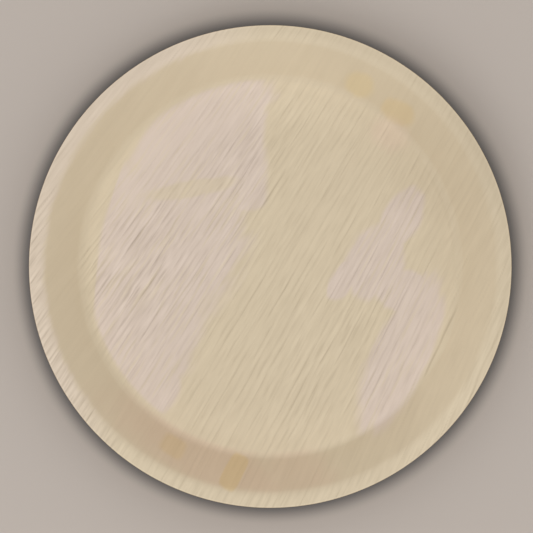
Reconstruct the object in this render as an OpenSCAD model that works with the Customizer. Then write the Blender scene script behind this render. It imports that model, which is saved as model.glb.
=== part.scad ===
// Round palm leaf plate: one sheath of areca leaf, pressed hot between two dies and cut round.
// +Z is up, the plate stands on its floor at z = 0, and the leaf's veins run along +Y.

/* [Plate] */
// Diameter over the cut edge
plate_d = 254; // [232:1:320]
// Height from the underside of the floor to the crest of the rim
plate_h = 25; // [18:0.5:32]
// Diameter of the flat floor, where the fold up into the wall begins
floor_d = 195; // [120:1:212]
// Thickness of the pressed leaf
leaf_t = 2; // [1.2:0.1:2.6]

/* [Folds and rim] */
// Radius of the fold from the floor to the wall, on the upper face
floor_fold_r = 7; // [4:0.5:9]
// Radius of the roll over the crest of the rim, on the upper face
crest_r = 6; // [4:0.5:8]
// Distance from the crest out to the cut edge, seen from above
lip_w = 4.5; // [3:0.5:9]
// Angle at which the lip falls away from the crest
lip_fall = 12; // [5:1:20]
// Radius on both corners of the cut edge
edge_r = 0.4; // [0.2:0.05:0.5]

/* [Veins] */
// Mean distance between two grooves, across the middle of the floor
vein_pitch = 4; // [3:0.25:8]
// Share of the pitch by which a groove may wander from its even place
vein_wander = 0.35; // [0:0.05:0.4]
// Width of the groove that the press leaves between two veins
groove_w = 0.6; // [0.4:0.05:1]
// Depth of that groove
groove_depth = 0.2; // [0.1:0.05:0.3]
// Length over which a groove runs out to nothing
groove_fade = 6; // [3:1:20]
// Distance from the grooves' ends to the fold
groove_stop = 1.5; // [0.5:0.5:10]
// Distance from the plate's centre to the point on +Y where the veins would meet
vein_meet = 975; // [500:25:2000]

/* [Hidden] */
$fn = 96;
overcut = 0.5;

rim_r = plate_d / 2;
floor_r = floor_d / 2;

// The section's two arcs touch one straight wall, whose slope and length follow from them
arc_gap = [rim_r - lip_w - floor_r, plate_h - crest_r - leaf_t - floor_fold_r];
arc_sum = floor_fold_r + crest_r;
wall_angle = atan2(arc_gap.y, arc_gap.x) + asin(arc_sum / norm(arc_gap));
wall_len = sqrt(norm(arc_gap) ^ 2 - arc_sum ^ 2);
// The lip's straight run, up to the rounded corners that make its cut edge
lip_len = (lip_w - edge_r - (crest_r - edge_r) * sin(lip_fall)) / cos(lip_fall);

// A strip of leaf is drawn along +X with its lower face on y = 0, and each stretch
// carries the rest of the strip at its own far end
module straight(length) {
    square([length, leaf_t]);
    translate([length, 0]) children();
}

module turned(angle, pivot) {
    translate([0, pivot]) rotate(angle) translate([0, -pivot]) children();
}

// A bend about the point at height pivot: upwards if it lies above the leaf, else downwards
module bend(angle, pivot) {
    reach = 4 * (abs(pivot) + leaf_t);
    intersection() {
        translate([0, pivot]) difference() {
            circle(max(abs(pivot), abs(pivot - leaf_t)));
            circle(min(abs(pivot), abs(pivot - leaf_t)));
        }
        translate([0, -reach]) square([reach, 2 * reach]);
        turned(angle, pivot) translate([-reach, -reach]) square([reach, 2 * reach]);
    }
    turned(angle, pivot) children();
}

// The end that the trimming die leaves, with both its corners broken
module cut_edge() {
    translate([0, edge_r]) square([edge_r, leaf_t - 2 * edge_r]);
    for (corner = [edge_r, leaf_t - edge_r])
        intersection() {
            translate([0, corner]) circle(edge_r);
            square([edge_r, leaf_t]);
        }
}

// Half of the plate's section: floor, fold, wall, crest, lip and cut edge
module leaf_section() {
    straight(floor_r)
        bend(wall_angle, leaf_t + floor_fold_r)
            straight(wall_len)
                bend(-wall_angle - lip_fall, leaf_t - crest_r)
                    straight(lip_len)
                        cut_edge();
}

// How far groove i lies from its even place: a sine whose steps never fall into a rhythm
function wander(i) = vein_wander * vein_pitch * sin(137.5 * i * i);

// Seen from above, the grooves between the veins: straight, unevenly spaced and slowly closing
module groove_lines() {
    count = floor(floor_r / vein_pitch);
    for (i = [-count : count]) {
        across = i * vein_pitch + wander(i);
        translate([0, vein_meet]) rotate(across / vein_meet * 180 / PI)
            translate([-groove_w / 2, -vein_meet - floor_d])
                square([groove_w, 2 * floor_d]);
    }
}

// What the press leaves lower between the veins, running out to nothing at the edge of the floor
module grooves() {
    end_r = floor_r - groove_stop;
    intersection() {
        rotate_extrude()
            polygon([
                [0, leaf_t - groove_depth],
                [end_r - groove_fade, leaf_t - groove_depth],
                [end_r + overcut / groove_depth * groove_fade, leaf_t + overcut],
                [0, leaf_t + overcut]
            ]);
        linear_extrude(leaf_t + 2 * overcut) groove_lines();
    }
}

module plate() {
    color("burlywood") difference() {
        rotate_extrude() leaf_section();
        grooves();
    }
}

plate();
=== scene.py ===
import math

import bpy
from mathutils import Matrix, Vector, noise
from mathutils.geometry import delaunay_2d_cdt


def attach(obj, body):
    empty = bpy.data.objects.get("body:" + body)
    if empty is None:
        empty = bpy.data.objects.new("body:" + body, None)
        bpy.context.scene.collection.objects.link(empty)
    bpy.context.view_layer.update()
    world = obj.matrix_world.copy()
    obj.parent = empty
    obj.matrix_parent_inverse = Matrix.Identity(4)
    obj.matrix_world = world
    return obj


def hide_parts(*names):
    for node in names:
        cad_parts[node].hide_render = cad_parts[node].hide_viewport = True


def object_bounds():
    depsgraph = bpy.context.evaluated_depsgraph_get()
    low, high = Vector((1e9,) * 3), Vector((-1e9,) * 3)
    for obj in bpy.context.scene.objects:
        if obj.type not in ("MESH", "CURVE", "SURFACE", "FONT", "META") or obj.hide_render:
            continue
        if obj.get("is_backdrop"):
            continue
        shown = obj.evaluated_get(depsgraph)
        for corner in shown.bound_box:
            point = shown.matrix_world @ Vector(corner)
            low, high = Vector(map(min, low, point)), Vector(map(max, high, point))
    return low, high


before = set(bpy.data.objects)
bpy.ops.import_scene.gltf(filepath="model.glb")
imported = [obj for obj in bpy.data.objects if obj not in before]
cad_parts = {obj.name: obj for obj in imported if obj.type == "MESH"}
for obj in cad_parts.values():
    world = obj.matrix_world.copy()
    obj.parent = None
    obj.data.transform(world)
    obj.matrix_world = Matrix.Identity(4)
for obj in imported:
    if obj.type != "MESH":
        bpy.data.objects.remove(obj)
cad_low, cad_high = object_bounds()

# The leaf plate: one sheath of areca palm leaf, soaked and pressed hot between two round dies,
# which trim it in the same stroke. Floor, fold, wall, crest and lip are one even sheet, and the
# veins run straight through all of them, closing up slowly towards +Y. Lengths are in mm.
MM = 0.001
RIM_R = (cad_high.x - cad_low.x) / 2 / MM
PLATE_H = (cad_high.z - cad_low.z) / MM
FLOOR_R = 97.5
LEAF_T = 2.0
FLOOR_FOLD_R = 7.0
CREST_R = 6.0
LIP_W = 4.5
LIP_FALL = math.radians(12)
EDGE_R = 0.4

CREST_POS = RIM_R - LIP_W
FOLD_Z = LEAF_T + FLOOR_FOLD_R
CREST_Z = PLATE_H - CREST_R
ARC_GAP = math.hypot(CREST_POS - FLOOR_R, CREST_Z - FOLD_Z)
WALL_ANGLE = math.atan2(CREST_Z - FOLD_Z, CREST_POS - FLOOR_R) + math.asin(
    (FLOOR_FOLD_R + CREST_R) / ARC_GAP
)
LIP_LEN = (LIP_W - EDGE_R - (CREST_R - EDGE_R) * math.sin(LIP_FALL)) / math.cos(LIP_FALL)


def stretch_ends(depth):
    """Radii at which fold, wall, crest and lip end, on the face that lies depth below the top."""
    fold_end = FLOOR_R + (FLOOR_FOLD_R + depth) * math.sin(WALL_ANGLE)
    wall_end = CREST_POS - (CREST_R - depth) * math.sin(WALL_ANGLE)
    crest_end = CREST_POS + (CREST_R - depth) * math.sin(LIP_FALL)
    return fold_end, wall_end, crest_end, crest_end + LIP_LEN * math.cos(LIP_FALL)


def leaf_face(radius, depth):
    """Height and slope of that face at a radius."""
    fold, crest = FLOOR_FOLD_R + depth, CREST_R - depth
    fold_end, wall_end, crest_end, _ = stretch_ends(depth)
    if radius <= FLOOR_R:
        return LEAF_T - depth, 0.0
    if radius <= fold_end:
        slope = math.asin((radius - FLOOR_R) / fold)
        return FOLD_Z - fold * math.cos(slope), slope
    if radius <= wall_end:
        rise = (radius - fold_end) * math.tan(WALL_ANGLE)
        return FOLD_Z - fold * math.cos(WALL_ANGLE) + rise, WALL_ANGLE
    if radius <= crest_end:
        slope = math.asin((CREST_POS - radius) / crest)
        return CREST_Z + crest * math.cos(slope), slope
    drop = (radius - crest_end) * math.tan(LIP_FALL)
    return CREST_Z + crest * math.cos(LIP_FALL) - drop, -LIP_FALL


# Where the veins run. across is the distance from the middle vein, at the plate's centre
VEIN_MEET = 975.0
VEIN_PITCH = 4.0
VEIN_WANDER = 0.35
GROOVE_HALF = 0.5
OUTER_GROOVE = 31


def groove_place(i):
    """How far across groove i lies: a little off its even place."""
    return i * VEIN_PITCH + VEIN_WANDER * VEIN_PITCH * math.sin(math.radians(137.5 * i * i))


GROOVES = [groove_place(i) for i in range(-OUTER_GROOVE, OUTER_GROOVE + 1)]


def vein_lines(spacing):
    """Lines along the veins: three to each groove, and the rest between them at about spacing."""
    lines = []
    for near, far in zip(GROOVES, GROOVES[1:]):
        start, end = near + GROOVE_HALF, far - GROOVE_HALF
        steps = max(1, round((end - start) / spacing))
        lines += [near] + [start + (end - start) * s / steps for s in range(steps + 1)]
    return lines


def groove_strength(i, y):
    """How plainly groove i shows at a place along it: each comes and goes by itself."""
    own = 0.3 * noise.noise(Vector((i * 7.31, 3.7, 1.85)))
    along = 1.6 * noise.noise(Vector((y / 17, i * 5.17, 2.3)))
    return max(0.0, min(1.0, 0.35 + own + along))


def blob(x, y, centre_x, centre_y, half_x, half_y):
    """1 at the centre, falling away smoothly over the two half widths."""
    return math.exp(-(((x - centre_x) / half_x) ** 2) - ((y - centre_y) / half_y) ** 2)


def ramp(value, low, high):
    """0 up to low, 1 from high on, and smooth between them."""
    share = min(1.0, max(0.0, (value - low) / (high - low)))
    return share * share * (3 - 2 * share)


# Where the veins show more or less plainly. On the floor: centre, half widths and strength.
# Round the wall and the lip: direction in degrees, its cosines at the start and in full, strength
FLOOR_VIVID = (
    (-58, -42, 28, 42, 0.75),
    (-38, 42, 18, 48, 0.5),
    (58, -35, 35, 50, 0.25),
    (-90, 30, 18, 45, -0.35),
    (62, 50, 32, 38, 0.15),
    (48, 3, 24, 24, 0.15),
)
WALL_VIVID = ((320, 0.3, 0.9, 0.15), (40, 0.8, 1.0, 0.22))
LIP_VIVID = (
    (228, 0.7, 0.97, 0.7),
    (325, 0.5, 0.9, 0.22),
    (15, 0.7, 0.95, 0.2),
    (75, 0.7, 0.95, -0.2),
)


def round_rim(turn, places):
    """What the places round the rim add together, at a direction from the plate's centre."""
    return sum(
        strength * ramp(math.cos(turn - math.radians(way)), low, high)
        for way, low, high, strength in places
    )


def vividness(x, y, radius):
    """How plainly the veins show: most towards -X and -Y, on floor and lip, least on the wall."""
    turn = math.atan2(y, x)
    on_floor = 0.5 + sum(strength * blob(x, y, *place) for *place, strength in FLOOR_VIVID)
    on_wall = 0.1 + round_rim(turn, WALL_VIVID)
    on_lip = 0.45 + round_rim(turn, LIP_VIVID)
    near_wall = on_floor + (on_wall - on_floor) * ramp(radius, FLOOR_R - 1, FLOOR_R + 5)
    return near_wall + (on_lip - near_wall) * ramp(radius, CREST_POS - 5, CREST_POS - 0.5)


# How deep the press leaves the grooves
FLOOR_GROOVE = 0.2
WALL_GROOVE = 0.06
LIP_GROOVE = 0.13
FLOOR_FADE = 8.0
LIP_FADE = 4.0


def groove_depth(radius):
    """Depth of a full groove: it fades before the fold, and comes back over the crest."""
    if radius < FLOOR_R - FLOOR_FADE:
        return FLOOR_GROOVE
    if radius < FLOOR_R:
        faded = (radius - FLOOR_R + FLOOR_FADE) / FLOOR_FADE
        return FLOOR_GROOVE - (FLOOR_GROOVE - WALL_GROOVE) * faded
    if radius < CREST_POS - LIP_FADE / 2:
        return WALL_GROOVE
    back = (radius - CREST_POS + LIP_FADE / 2) / LIP_FADE
    return WALL_GROOVE + (LIP_GROOVE - WALL_GROOVE) * min(1.0, back)


# Depth of the fine ribs and of the leaf's slow swell, on the upper and on the lower face
UPPER_RIBS, UPPER_SWELL = 0.045, 0.16
LOWER_RIBS, LOWER_SWELL = 0.06, 0.3
# The painted highlight on the vein beside a groove: how far off its middle it lies, and half its
# width
HIGHLIGHT_OFF, HIGHLIGHT_HALF = 1.1, 0.9


def soft_noise(a, b, seed):
    """Smooth noise from 0 to 1."""
    return 0.5 + 0.5 * noise.noise(Vector((a, b, seed)))


def relief(x, y, upper):
    """How far the leaf lies below its nominal face, and how strong the painted shade in its
    groove and the painted highlight beside it are.
    """
    radius = math.hypot(x, y)
    across = VEIN_MEET * math.atan2(x, VEIN_MEET - y)
    i = round(across / VEIN_PITCH)
    groove = groove_share_and_shade = vein_highlight = 0.0
    for k in (i - 1, i, i + 1):
        off = across - groove_place(k)
        strength = groove_strength(k, y)
        if abs(off) < GROOVE_HALF:
            groove_share_and_shade = (1 - abs(off) / GROOVE_HALF) * strength
            groove = groove_share_and_shade * groove_depth(radius)
        vein_highlight = max(vein_highlight, (1 - abs(off + HIGHLIGHT_OFF) / HIGHLIGHT_HALF) * strength)
    ribs = soft_noise(across / 0.9, y / 26, 0.0)
    if upper:
        swell = soft_noise(across / 11, y / 90, 4.0)
        return groove + UPPER_RIBS * ribs + UPPER_SWELL * swell, groove_share_and_shade, vein_highlight
    swell = soft_noise(across / 17, y / 110, 9.0)
    return 0.5 * groove + LOWER_RIBS * ribs + LOWER_SWELL * swell, 0.6 * groove_share_and_shade, 0.6 * vein_highlight


RIM_SAG = 0.45


def sag(x, y, z):
    """How far the cooled plate sags at this place: the rim isn't quite level."""
    turn = math.atan2(y, x)
    wave = 0.5 + 0.3 * math.cos(2 * turn - 0.9) + 0.2 * math.cos(3 * turn + 0.4)
    return RIM_SAG * wave * (z / PLATE_H) ** 2


VEIN_WAVER = 0.6


def wavered(x, y):
    """Where x goes once the veins waver a little to either side. The rim stays round."""
    fade = 1 - ramp(math.hypot(x, y), CREST_POS - 6, CREST_POS)
    return x + VEIN_WAVER * fade * noise.noise(Vector((x / 14, y / 18, 6.0)))


def placed(x, y, z, slope, inwards):
    """A point of the leaf, in metres, pushed inwards off its nominal face."""
    radius = math.hypot(x, y) or 1.0
    lean = inwards * math.sin(slope) / radius
    height = z - inwards * math.cos(slope)
    return ((x + x * lean) * MM, (y + y * lean) * MM, (height - sag(x, y, z)) * MM)


def ring_radii(depth, counts):
    """Radii of the rings that carry the section, with so many steps to each of its stretches."""
    fold_end, wall_end, crest_end, lip_end = stretch_ends(depth)
    fold, crest = FLOOR_FOLD_R + depth, CREST_R - depth
    on_fold, on_wall, on_crest, on_lip = counts
    radii = [FLOOR_R + fold * math.sin(WALL_ANGLE * s / on_fold) for s in range(on_fold)]
    radii += [fold_end + (wall_end - fold_end) * s / on_wall for s in range(on_wall)]
    for s in range(on_crest):
        slope = WALL_ANGLE - (WALL_ANGLE + LIP_FALL) * s / on_crest
        radii.append(CREST_POS - crest * math.sin(slope))
    return radii + [crest_end + (lip_end - crest_end) * s / on_lip for s in range(on_lip + 1)]


# Points round the rim, and the net's steps along the veins on the floor and on all else
RIM_POINTS = 720
FLOOR_STEP = 6.0
WALL_STEP = 2.0
RING_STEP = 2.0
# A line that only just touches a ring doesn't count as crossing it
CLEAR_OF_RING = 0.05


def face_net(rings, spacing):
    """Triangles of one face seen from above, along the veins' lines and round the rings."""
    points, edges = [], []
    on_ring = [[] for _ in rings]

    def add(x, y):
        points.append(Vector((x, y)))
        return len(points) - 1

    for across in vein_lines(spacing):
        lean = across / VEIN_MEET
        middle = VEIN_MEET * math.cos(lean)
        passes = abs(VEIN_MEET * math.sin(lean))
        crossed = []
        for k, radius in enumerate(rings[:-1]):
            if radius > passes + CLEAR_OF_RING:
                half = math.sqrt(radius**2 - passes**2)
                crossed += [(middle - half, k), (middle + half, k)]
        if not crossed:
            continue
        inner_half = min(abs(distance - middle) for distance, _ in crossed)
        step = FLOOR_STEP if passes < FLOOR_R else WALL_STEP
        first = math.ceil((middle - inner_half + 0.25 * step - VEIN_MEET) / step)
        last = math.floor((middle + inner_half - 0.25 * step - VEIN_MEET) / step)
        crossed += [(VEIN_MEET + j * step, -1) for j in range(first, last + 1)]
        crossed.sort()
        before = None
        for distance, k in crossed:
            here = add(distance * math.sin(lean), VEIN_MEET - distance * math.cos(lean))
            if k >= 0:
                on_ring[k].append(here)
            if before is not None and passes < FLOOR_R and k <= 0 and before[1] <= 0:
                edges.append((before[0], here))
            before = (here, k)
    for j in range(RIM_POINTS):
        turn = 2 * math.pi * j / RIM_POINTS
        on_ring[-1].append(add(rings[-1] * math.cos(turn), rings[-1] * math.sin(turn)))
    for radius, members in zip(rings, on_ring):
        members.sort(key=lambda p: math.atan2(points[p].y, points[p].x))
        for start, end in zip(members, members[1:] + members[:1]):
            turn = math.atan2(points[start].y, points[start].x)
            gap = (math.atan2(points[end].y, points[end].x) - turn) % (2 * math.pi)
            steps = max(1, math.ceil(gap * radius / RING_STEP))
            chain = [start]
            for s in range(1, steps):
                angle = turn + gap * s / steps
                chain.append(add(radius * math.cos(angle), radius * math.sin(angle)))
            chain.append(end)
            edges += zip(chain, chain[1:])
    flat, _, faces, *_ = delaunay_2d_cdt(points, edges, [], 0, 1e-5)
    return [(p.x, p.y) for p in flat], faces


vertices, faces = [], []
# The first two traits carry the painted shade in each groove and the painted highlight beside it
traits = {"groove": [], "ridge_highlight": [], "vivid": [], "cut_edge": []}


def note(*values):
    """Keeps the traits of the vertex just made, in the order of their names."""
    for name, value in zip(traits, values):
        traits[name].append(value)


# Each face's steps over fold, wall, crest and lip, and the spacing of its lines along the veins
UPPER_STEPS, UPPER_SPACING = (9, 22, 10, 5), 0.62
LOWER_STEPS, LOWER_SPACING = (7, 11, 7, 4), 1.1
ON_RIM = 1e-3
rims = []
for upper in (True, False):
    depth = 0.0 if upper else LEAF_T
    rings = ring_radii(depth, UPPER_STEPS if upper else LOWER_STEPS)
    flat, triangles = face_net(rings, UPPER_SPACING if upper else LOWER_SPACING)
    start = len(vertices)
    rim = []
    for n, (x, y) in enumerate(flat):
        radius = min(math.hypot(x, y), rings[-1])
        z, slope = leaf_face(radius, depth)
        low, groove_share_and_shade, vein_highlight = relief(x, y, upper)
        vertices.append(placed(wavered(x, y), y, z, slope, low if upper else -low))
        note(groove_share_and_shade, vein_highlight, vividness(x, y, radius), 0.0)
        if radius > rings[-1] - ON_RIM:
            rim.append((math.atan2(y, x) % (2 * math.pi), start + n))
    order = (0, 1, 2) if upper else (2, 1, 0)
    faces += [tuple(start + t[k] for k in order) for t in triangles]
    rims.append([n for _, n in sorted(rim)])


# The trimmed edge, row by row from the upper rim down to the lower one
lip_out = Vector((math.cos(LIP_FALL), -math.sin(LIP_FALL)))
lip_up = Vector((math.sin(LIP_FALL), math.cos(LIP_FALL)))
lip_end = stretch_ends(0.0)[3]
upper_corner = Vector((lip_end, leaf_face(lip_end, 0.0)[0])) - EDGE_R * lip_up
lower_corner = upper_corner - (LEAF_T - 2 * EDGE_R) * lip_up
CORNER_STEPS = 3
FIBRE_DEPTH = 0.08
edge_path = []
for s in range(1, CORNER_STEPS + 1):
    turn = 0.5 * math.pi * s / CORNER_STEPS
    edge_path.append(upper_corner + EDGE_R * (math.cos(turn) * lip_up + math.sin(turn) * lip_out))
edge_path.append((edge_path[-1] + lower_corner + EDGE_R * lip_out) / 2)
for s in range(CORNER_STEPS):
    turn = 0.5 * math.pi * s / CORNER_STEPS
    edge_path.append(lower_corner + EDGE_R * (math.cos(turn) * lip_out - math.sin(turn) * lip_up))
rows = [rims[0]]
for s, (radius, z) in enumerate(edge_path):
    share = (s + 1) / (len(edge_path) + 1)
    row = []
    for j in range(RIM_POINTS):
        turn = 2 * math.pi * j / RIM_POINTS
        x, y = radius * math.cos(turn), radius * math.sin(turn)
        low = (1 - share) * relief(x, y, True)[0] - share * relief(x, y, False)[0]
        fibre = soft_noise(x / 0.8, y / 0.8, z / 0.5)
        pull = 1 - FIBRE_DEPTH * fibre / RIM_R
        row.append(len(vertices))
        vertices.append(placed(x * pull, y * pull, z, -LIP_FALL, low))
        note(0.0, 0.0, 1.0, 1.0)
    rows.append(row)
rows.append(rims[1])
for above, below in zip(rows, rows[1:]):
    for j in range(RIM_POINTS):
        k = (j + 1) % RIM_POINTS
        faces.append((above[j], below[j], below[k], above[k]))

leaf_mesh = bpy.data.meshes.new("plate_leaf")
leaf_mesh.from_pydata(vertices, [], faces)
leaf_mesh.validate()
for name, values in traits.items():
    layer = leaf_mesh.attributes.new(name, "FLOAT", "POINT")
    layer.data.foreach_set("value", values)
leaf_mesh.shade_smooth()
plate = bpy.data.objects.new("plate_leaf", leaf_mesh)
bpy.context.scene.collection.objects.link(plate)
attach(plate, "root")
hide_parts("plate")


class Wire:
    """One socket of a material's nodes. Plain arithmetic on it adds Math nodes."""

    def __init__(self, tree, socket=None):
        self.tree, self.socket = tree, socket

    def node(self, kind, settings, sockets, output=0):
        """Adds any other node: its settings come first, then each socket's value or link."""
        made = self.tree.nodes.new(kind)
        for name, value in settings.items():
            setattr(made, name, value)
        for name, value in sockets.items():
            if isinstance(value, Wire):
                self.tree.links.new(value.socket, made.inputs[name])
            else:
                made.inputs[name].default_value = value
        return Wire(self.tree, made.outputs[output] if made.outputs else None)

    def maths(self, operation, *values):
        return self.node("ShaderNodeMath", {"operation": operation}, dict(enumerate(values)))

    def __add__(self, other):
        return self.maths("ADD", self, other)

    def __sub__(self, other):
        return self.maths("SUBTRACT", self, other)

    def __mul__(self, other):
        return self.maths("MULTIPLY", self, other)

    def __truediv__(self, other):
        return self.maths("DIVIDE", self, other)

    def __radd__(self, other):
        return self.maths("ADD", other, self)

    def __rsub__(self, other):
        return self.maths("SUBTRACT", other, self)

    def __rmul__(self, other):
        return self.maths("MULTIPLY", other, self)

    def __pow__(self, other):
        return self.maths("POWER", self, other)


def linear(red, green, blue):
    """A colour as written for a screen, from 0 to 255, in the renderer's own scale."""
    return [((c / 255 + 0.055) / 1.055) ** 2.4 for c in (red, green, blue)] + [1.0]


def eased(value, low, high):
    """The same as ramp, on a socket."""
    settings = {"interpolation_type": "SMOOTHSTEP"}
    return value.node("ShaderNodeMapRange", settings, {0: value, 1: low, 2: high, 3: 0.0, 4: 1.0})


def mixed(share, first, second):
    """The second colour laid over the first by that share."""
    settings = {"data_type": "RGBA"}
    return share.node("ShaderNodeMix", settings, {0: share, 6: first, 7: second}, output=2)


leaf = bpy.data.materials.new("pressed_leaf")
leaf.use_nodes = True
leaf.node_tree.nodes.clear()
start = Wire(leaf.node_tree)
place = start.node("ShaderNodeTexCoord", {}, {}, output=3)
x_mm, y_mm = [
    place.node("ShaderNodeSeparateXYZ", {}, {0: place}, output=axis) / MM for axis in (0, 1)
]
radius = (x_mm * x_mm + y_mm * y_mm) ** 0.5
waver = start.node("ShaderNodeCombineXYZ", {}, {0: x_mm / 12, 1: y_mm / 18, 2: 8.0})
waver = start.node("ShaderNodeTexNoise", {}, {"Vector": waver, "Scale": 1.0, "Detail": 1.0})
across = x_mm * VEIN_MEET / (VEIN_MEET - y_mm) + 1.2 * (waver - 0.5)


def grain(width, length, detail=2.0, seed=0.0):
    """Noise drawn out along the veins, from 0 to 1: width and length of its streaks in mm."""
    where = {0: across / width, 1: y_mm / length, 2: seed}
    where = across.node("ShaderNodeCombineXYZ", {}, where)
    return where.node("ShaderNodeTexNoise", {}, {"Vector": where, "Scale": 1.0, "Detail": detail})


def patch(centre_across, centre_along, half_width, half_length, soft=0.35, lean=0, power=2):
    """A stretched patch, 1 inside and 0 outside, with an edge that frays along the veins."""
    c, s = math.cos(math.radians(lean)), math.sin(math.radians(lean))
    off_x, off_y = across - centre_across, y_mm - centre_along
    wide = (off_x * c + off_y * s) / half_width
    long = (off_y * c - off_x * s) / half_length
    reach = (wide ** power + long ** power) ** (1 / power) + (frayed - 0.5) * (1.1 / power)
    return 1 - eased(reach, 1 - soft, 1 + soft)


def joined(masks):
    """The stronger of all the masks at each place."""
    whole = masks[0]
    for mask in masks[1:]:
        whole = whole.maths("MAXIMUM", whole, mask)
    return whole


frayed = grain(7, 26, 3.0, 5.0)

CREAM = linear(206, 191, 165)
PINKISH = linear(208, 192, 179)
BROWNED = linear(203, 177, 154)
CUT_BROWN = linear(186, 160, 122)

# The pinkish parts, as patches: centre across and along the veins, then half width and length
PINK_SOFT = 0.14
LEFT_PINK = (
    (-66, 38, 35.5, 48),
    (-58, -18, 44, 50),
    (-47, -64, 37, 39),
    (-18, -88, 13, 15),
    (-34, 32, 15, 16),
)
RIGHT_PINK = (
    (50, 58, 10.5, 18),
    (48.5, 31.5, 16.5, 20),
    (37, 13, 6, 12),
    (70, 25, 15, 12),
    (83.5, -4, 15, 44),
)
left_pink = joined([patch(*spread, PINK_SOFT) for spread in LEFT_PINK])
right_pink = joined([patch(*spread, PINK_SOFT) for spread in RIGHT_PINK])
# The left patch stops short of the fold, nearer to it here and further there
to_fold = radius - 4 * eased(0.77 * y_mm - 0.64 * x_mm, 70, 92)
to_fold = to_fold + 4 * eased(-0.945 * x_mm - 0.327 * y_mm, 87, 91)
to_fold = to_fold - 1.5 * eased(-0.38 * x_mm - 0.92 * y_mm, 84, 92)
# Its inner edge runs slantwise to the veins, and a cream streak crosses it
slantwise = 0.857 * x_mm + 0.515 * y_mm + 6 * (frayed - 0.5)
slantwise = slantwise - 8 * eased(0.857 * y_mm - 0.515 * x_mm, 84, 92)
left_pink = left_pink * (1 - eased(to_fold, 94, 97)) * (1 - eased(slantwise, -5, 0))
left_pink = left_pink * (1 - 0.7 * patch(-58, 14, 25, 4.5, 0.25, 42))
creamy = eased(grain(1.6, 30, 2.0, 7.0), 0.5, 0.68)
pink = joined([left_pink, right_pink]) * (1 - 0.5 * creamy)
on_left = eased(-0.95 * x_mm - 0.2 * y_mm, 35, 85)
left_rim = eased(radius + 6 * (grain(2.2, 20, 2.0, 11.0) - 0.5), 117, 121) * on_left
colour = mixed(joined([pink, 0.55 * left_rim]), CREAM, PINKISH)

# The wall is browned towards -Y. Small stains lie on it, here with place, strength and colour
browned = joined([patch(28, -105, 55, 15, 0.5), 0.7 * patch(64, -88, 20, 16, 0.5)])
browned = browned * eased(radius, 97, 101) * (1 - eased(radius, 116, 121))
colour = mixed(browned * 0.55, colour, BROWNED)
STAINS = (
    ((18, 105, 10, 6, 0.25), 0.6, (210, 188, 146)),
    ((-10, 107, 9, 6, 0.3), 0.6, (211, 191, 149)),
    ((20, 93, 11, 8, 0.5), 0.6, (211, 190, 168)),
    ((35.6, -102.9, 4.6, 9.4, 0.12, 0, 4), 0.6, (205, 179, 131)),
    ((4.5, -108, 6, 4.8, 0.25, 0, 4), 0.55, (204, 179, 138)),
)
for spread, strength, stain in STAINS:
    colour = mixed(patch(*spread) * strength, colour, linear(*stain))

# The veins and fibres, as lines that darken and lighten the leaf where it is vivid, with painted
# shade in each groove and a painted highlight beside it
broad = grain(4, 40, 2.0, 1.0)
fine = grain(1.6, 16, 2.0, 2.0)
hair = grain(0.45, 10, 2.0, 3.0)
dashes = eased(grain(1.6, 14, 1.0, 13.0), 0.56, 0.74)
phase = 0.297 * across - 0.000275 * across * across + 0.9 * grain(22, 70, 1.0, 17.0)
stripes = (0.5 + 0.5 * phase.maths("SINE", 2 * math.pi * phase)) ** 3
stripes = stripes * eased(grain(9, 15, 1.0, 19.0), 0.36, 0.6)
groove, ridge_highlight, vivid, cut = [
    start.node("ShaderNodeAttribute", {"attribute_name": name}, {}, output=2) for name in traits
]
# Towards +X and +Y the lines are weaker, and the fold there gets a painted shade
upper_right = patch(72, 62, 48, 40, 0.5)
stripes = stripes * (1 - 0.45 * upper_right)
lines = 0.05 * ridge_highlight - 0.17 * groove - 0.06 * dashes + 0.027 - 0.125 * stripes
lines = lines + 0.3 * (fine - 0.5) + 0.09 * (hair - 0.5) + 0.08 * (broad - 0.5)

# Painted light on the floor before the fold and at its edge, against the wall's shade there, and
# painted shade in the fold in places, with a painted dark line of shade along it towards +X
off_middle = ((x_mm - 1.2) ** 2 + (y_mm + 0.7) ** 2) ** 0.5
light_before_fold = eased(off_middle, 70, 94) * (1 - eased(off_middle, 97.6, 101.3)) * (1 - upper_right)
fold_shade_places = joined([upper_right, patch(-69, -74, 48, 44, 0.5), patch(100, 8, 14, 40, 0.4)])
fold_shade = eased(off_middle, 95.5, 98) * (1 - eased(off_middle, 99.5, 102)) * fold_shade_places
side_fold_shade = 1 - eased(((across - 99.6) ** 2) ** 0.5, 0.2, 0.8)
side_fold_shade = side_fold_shade * eased(y_mm, -11, -4) * (1 - eased(y_mm, 26, 36))
floor_edge_light = eased(off_middle, 93, 98) * (1 - eased(off_middle, 99, 102))
# Lighter and darker patches of the leaf
paler = joined([patch(112, 0, 14, 42, 0.5), patch(-66, 89, 50, 27, 0.5)])
paler = joined([paler, 0.5 * patch(-86, 28, 22, 62, 0.5)])
dimmed = patch(60, 98, 48, 30, 0.5)
# Painted shade on the lip towards +X and +Y
lip_shade = eased(radius, 117, 120) * patch(92, 70, 52, 62, 0.4)
# A painted highlight along the rim's outer edge
edge_highlight = eased(radius, 125.9, 126.5)

shade = 1.0 + vivid * lines + 0.08 * (broad - 0.5)
shade = shade + 0.06 * light_before_fold + 0.03 * floor_edge_light - 0.05 * fold_shade - 0.17 * side_fold_shade
shade = shade + 0.05 * paler - 0.05 * dimmed
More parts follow.
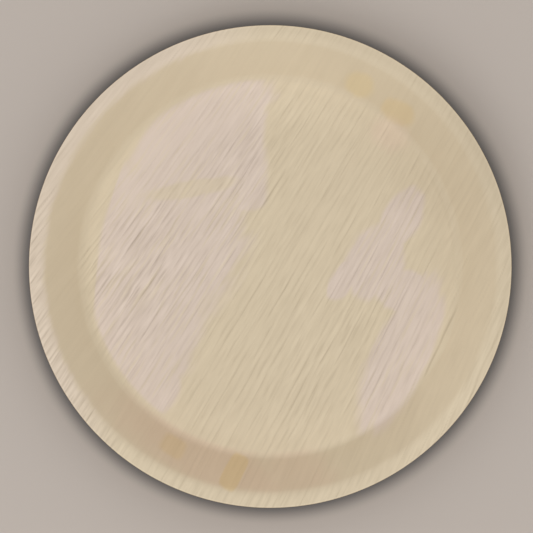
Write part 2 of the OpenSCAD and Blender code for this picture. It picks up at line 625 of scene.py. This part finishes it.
# The rim towards -X is pinker in its own colour, and a little lighter by painted light
shade = shade + 0.02 * left_rim + 0.07 * edge_highlight - 0.035 * lip_shade
tone = shade.node("ShaderNodeCombineXYZ", {}, {0: shade, 1: shade ** 1.08, 2: shade ** 1.2})
multiplied = {"data_type": "RGBA", "blend_type": "MULTIPLY"}
colour = colour.node("ShaderNodeMix", multiplied, {0: 1.0, 6: colour, 7: tone}, output=2)
colour = mixed(cut * 0.5, colour, CUT_BROWN)

height = fine * 0.6 + hair * 0.4
bump = start.node("ShaderNodeBump", {}, {"Strength": 0.5, "Distance": 0.00008, "Height": height})
rough = 0.52 + 0.14 * fine + 0.1 * cut
skin = start.node(
    "ShaderNodeBsdfPrincipled",
    {},
    {"Base Color": colour, "Roughness": rough, "Normal": bump, "Specular IOR Level": 0.35},
)
start.node("ShaderNodeOutputMaterial", {}, {0: skin})
leaf_mesh.materials.append(leaf)

# The table: a plain painted top, matt and pale, well away from any wall, on which the plate
# stands loose. A painted shadow darkens it in a soft ring round the plate, as the photograph
# shows.
TABLE_HALF = 30.0
TABLE_PALE = linear(184, 175, 168)
PAINTED_SHADOW_GREY = linear(88, 87, 88)
SHADOW_INNER, SHADOW_OUTER = 125.6, 138
table_mesh = bpy.data.meshes.new("table_top")
corners = [(TABLE_HALF * x, TABLE_HALF * y, 0) for x, y in ((-1, -1), (1, -1), (1, 1), (-1, 1))]
table_mesh.from_pydata(corners, [], [(0, 1, 2, 3)])
table = bpy.data.objects.new("table_top", table_mesh)
bpy.context.scene.collection.objects.link(table)
table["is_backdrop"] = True
top = bpy.data.materials.new("table_paint")
top.use_nodes = True
paint = top.node_tree.nodes["Principled BSDF"]
paint.inputs["Roughness"].default_value = 0.8
where = Wire(top.node_tree).node("ShaderNodeTexCoord", {}, {}, output=3)
length = {"operation": "LENGTH"}
from_middle = where.node("ShaderNodeVectorMath", length, {0: where}, output=1) / MM
paint_and_shadow = mixed(eased(from_middle, SHADOW_INNER, SHADOW_OUTER), PAINTED_SHADOW_GREY, TABLE_PALE)
top.node_tree.links.new(paint_and_shadow.socket, paint.inputs["Base Color"])
table_mesh.materials.append(top)

# The lamps: an even light from the whole room, a soft ceiling lamp, and a square softbox on the
# side that the photograph's brighter slopes face. Neither lamp shows itself to the camera.
world = bpy.data.worlds.new("room")
world.use_nodes = True
bpy.context.scene.world = world
air = world.node_tree.nodes["Background"]
air.inputs["Color"].default_value = linear(250, 248, 245)
air.inputs["Strength"].default_value = 0.925


def softbox(name, side, strength, turn, rise, distance):
    """A square lamp that faces the plate, turn degrees round from +X and rise above the table."""
    lamp = bpy.data.lights.new(name, "AREA")
    lamp.shape = "SQUARE"
    lamp.size = side
    lamp.energy = strength
    body = bpy.data.objects.new(name, lamp)
    a, e = math.radians(turn), math.radians(rise)
    back = Vector((math.cos(a) * math.cos(e), math.sin(a) * math.cos(e), math.sin(e)))
    body.location = back * distance
    body.rotation_mode = "QUATERNION"
    body.rotation_quaternion = back.to_track_quat("Z", "Y")
    body.visible_camera = False
    bpy.context.scene.collection.objects.link(body)


softbox("ceiling", 1.6, 0.65, 0, 90, 2.2)
softbox("side", 1.0, 4.85, 270, 52, 1.8)

# The camera: it looks straight down on the plate through a long lens, turned so that the
# veins run up and to the right. OFFSET_RIGHT and OFFSET_UP are the plate's, in pixels.
CAMERA_TURN = math.radians(31)
LENS, SENSOR = 240.0, 36.0
MM_PER_PIXEL, FRAME_PIXELS = 0.5257, 533
OFFSET_RIGHT, OFFSET_UP = 3.77, 0.0
rim_distance = MM_PER_PIXEL * FRAME_PIXELS * LENS / SENSOR
shift = -MM_PER_PIXEL * Vector((OFFSET_RIGHT, OFFSET_UP))
shift.rotate(Matrix.Rotation(CAMERA_TURN, 2))
eye = bpy.data.cameras.new("camera")
eye.lens, eye.sensor_width = LENS, SENSOR
camera = bpy.data.objects.new("camera", eye)
camera.location = (shift.x * MM, shift.y * MM, (rim_distance + PLATE_H) * MM)
camera.rotation_euler = (0, 0, CAMERA_TURN)
bpy.context.scene.collection.objects.link(camera)
bpy.context.scene.camera = camera

bpy.context.scene.view_settings.view_transform = "Standard"

low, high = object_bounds()
